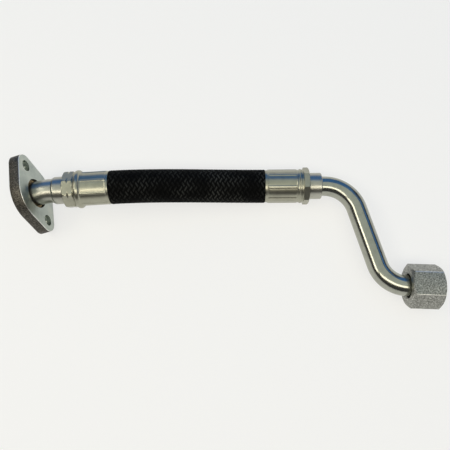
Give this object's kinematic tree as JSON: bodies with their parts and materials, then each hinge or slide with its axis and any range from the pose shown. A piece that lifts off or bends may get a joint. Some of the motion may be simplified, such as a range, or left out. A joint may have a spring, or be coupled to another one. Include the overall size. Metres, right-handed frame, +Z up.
{
  "type": "turbo oil feed line",
  "caption": "Turbocharger oil feed line: diamond flange and brazed stub, textile braided hose with crimped ferrules, bent steel tube and a loose union nut over a sealing cone.",
  "frame": {"origin": "bottom centre of the bounding box, with the line lying on a floor", "axes": "+X along the hose from the flange to the nut, +Y across it away from the nut, +Z up from the floor"},
  "size_m": [0.3294, 0.1282, 0.0463],
  "materials": {
    "cut_plate": "satin zinc plating over cut plate",
    "zinc_steel": "glossy zinc plating",
    "tumbled_zinc": "matt tumbled zinc plating with bright corners",
    "braid": "black textile braid",
    "liner_rubber": "plain black rubber",
    "braze": "as brazed"
  },
  "bodies": {
    "line": {"flange_plate": "cut_plate", "flange_stub": "zinc_steel", "flange_braze": "braze", "flange_end_nipple": "zinc_steel", "flange_end_ferrule": "zinc_steel", "hose_liner": "liner_rubber", "hose_braid": "braid", "tube_end_ferrule": "zinc_steel", "tube_end_nipple": "zinc_steel", "bent_tube": "zinc_steel", "sealing_cone": "zinc_steel", "cone_o_ring": "liner_rubber"},
    "nut": {"union_nut": "tumbled_zinc"}
  },
  "joints": [
    {"name": "nut_spin", "type": "hinge", "parent": "line", "child": "nut", "pos_m": [0.15191, -0.04618, 0.015], "axis": [0.9982, -0.0593, 0], "continuous": true}
  ]
}
